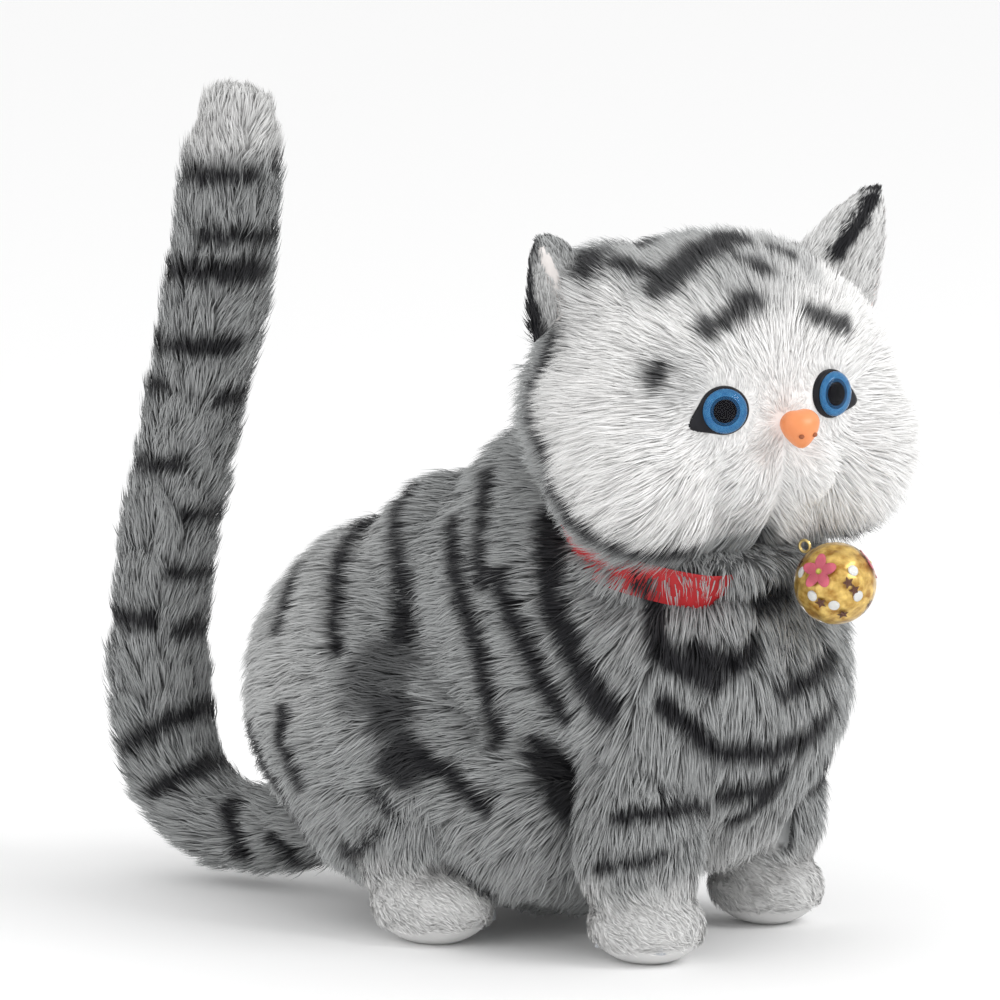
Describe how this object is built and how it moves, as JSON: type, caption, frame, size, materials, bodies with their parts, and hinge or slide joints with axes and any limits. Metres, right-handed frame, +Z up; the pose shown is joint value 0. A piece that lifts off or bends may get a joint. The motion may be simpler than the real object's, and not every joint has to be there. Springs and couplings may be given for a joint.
{
  "type": "interactive plush pet",
  "caption": "Tabby plush cat toy on short walking legs, with a turning head, wagging upright tail, sewn collar with a hanging ball, and a battery drive unit inside.",
  "frame": {"origin": "middle of the toy's bounding box, on the floor plane the soles stand on", "axes": "+Z up, the cat faces -Y, its right side is -X"},
  "size_m": [0.1012, 0.2355, 0.214],
  "materials": {
    "plush_grey": "long pile, grey with near-black tabby stripes",
    "plush_white": "long white pile",
    "ear_pink": "thin short pile",
    "eye_black": "glossy",
    "iris_blue": "printed disc under a lens",
    "clear_lens": "clear dome",
    "nose_orange": "satin",
    "shell_white": "moulded",
    "lever_grey": "moulded",
    "black_plastic": "moulded",
    "steel": "plated",
    "board_green": "solder mask",
    "cell_label": "plain sleeve",
    "cone_paper": "paper cone",
    "gear_nylon": "nylon",
    "brass": "plain",
    "collar_red": "flat red ribbon",
    "ball_clear": "clear ball",
    "gold_foil": "crumpled gold foil"
  },
  "bodies": {
    "torso": {"body_plush": "plush_grey", "collar_band": "collar_red", "collar_tab": "collar_red", "chassis_lower": "shell_white", "chassis_upper": "shell_white", "chassis_screw_front": "steel", "chassis_screw_rear": "steel", "battery_box": "black_plastic", "cell_1": "cell_label", "cell_2": "cell_label", "cell_3": "cell_label", "battery_door": "shell_white", "battery_door_screw": "steel", "circuit_board": "board_green", "sound_chip": "black_plastic", "speaker_frame": "steel", "speaker_cone": "cone_paper", "switch_housing": "black_plastic", "motor": "steel", "axle_front": "steel", "axle_rear": "steel", "neck_post": "shell_white", "neck_cap": "lever_grey"},
    "head": {"head_plush": "plush_white", "head_shell_front": "shell_white", "head_shell_rear": "shell_white", "ear_right": "plush_grey", "ear_left": "plush_grey", "ear_liner_right": "ear_pink", "ear_liner_left": "ear_pink", "eye_rim_right": "eye_black", "eye_rim_left": "eye_black", "eye_iris_right": "iris_blue", "eye_iris_left": "iris_blue", "eye_lens_right": "clear_lens", "eye_lens_left": "clear_lens", "nose": "nose_orange"},
    "tail": {"tail_plush": "plush_grey", "tail_spine": "black_plastic"},
    "leg_front_right": {"leg_core_front_right": "lever_grey", "leg_plush_front_right": "plush_white"},
    "leg_front_left": {"leg_core_front_left": "lever_grey", "leg_plush_front_left": "plush_white"},
    "leg_hind_right": {"leg_core_hind_right": "lever_grey", "leg_plush_hind_right": "plush_white"},
    "leg_hind_left": {"leg_core_hind_left": "lever_grey", "leg_plush_hind_left": "plush_white"},
    "pendant": {"pendant_ring": "brass", "pendant_shell": "ball_clear", "pendant_core": "gold_foil"},
    "crank": {"crank_gear": "gear_nylon"},
    "pinion": {"motor_pinion": "brass"},
    "button": {"touch_button": "lever_grey"},
    "switch": {"switch_lever": "black_plastic"}
  },
  "joints": [
    {"name": "head_turn", "type": "hinge", "parent": "torso", "child": "head", "pos_m": [0, -0.06, 0.108], "axis": [0, 0, 1], "range_deg": [-5, 35]},
    {"name": "tail_wag", "type": "hinge", "parent": "torso", "child": "tail", "pos_m": [0, 0.064, 0.017], "axis": [0, 1, 0], "range_deg": [-12, 12]},
    {"name": "leg_front_right_swing", "type": "hinge", "parent": "torso", "child": "leg_front_right", "pos_m": [-0.031, -0.062, 0.048], "axis": [1, 0, 0], "range_deg": [-6, 6]},
    {"name": "leg_front_left_swing", "type": "hinge", "parent": "torso", "child": "leg_front_left", "pos_m": [0.031, -0.062, 0.048], "axis": [1, 0, 0], "range_deg": [-6, 6]},
    {"name": "leg_hind_right_swing", "type": "hinge", "parent": "torso", "child": "leg_hind_right", "pos_m": [-0.031, 0.002, 0.044], "axis": [1, 0, 0], "range_deg": [-6, 6]},
    {"name": "leg_hind_left_swing", "type": "hinge", "parent": "torso", "child": "leg_hind_left", "pos_m": [0.031, 0.002, 0.044], "axis": [1, 0, 0], "range_deg": [-6, 6]},
    {"name": "pendant_swing", "type": "hinge", "parent": "torso", "child": "pendant", "pos_m": [-0.008, -0.0983, 0.1073], "axis": [-1, 0, 0], "range_deg": [0, 35]},
    {"name": "crank_spin", "type": "hinge", "parent": "torso", "child": "crank", "pos_m": [0, -0.02, 0.066], "axis": [1, 0, 0], "continuous": true},
    {"name": "pinion_spin", "type": "hinge", "parent": "torso", "child": "pinion", "pos_m": [0.01, -0.04, 0.066], "axis": [1, 0, 0], "continuous": true},
    {"name": "button_press", "type": "slide", "parent": "torso", "child": "button", "axis": [0, 0, -1], "range_m": [0, 0.001], "stiffness_N_per_m": 400, "springref_m": -0.0005},
    {"name": "switch_slide", "type": "slide", "parent": "torso", "child": "switch", "axis": [-1, 0, 0], "range_m": [0, 0.003]}
  ],
  "couplings": [
    {"joint": "leg_front_left_swing", "follows": "leg_front_right_swing", "ratio": -1},
    {"joint": "leg_hind_left_swing", "follows": "leg_front_right_swing", "ratio": 1},
    {"joint": "leg_hind_right_swing", "follows": "leg_front_right_swing", "ratio": -1},
    {"joint": "pinion_spin", "follows": "crank_spin", "ratio": -4}
  ]
}
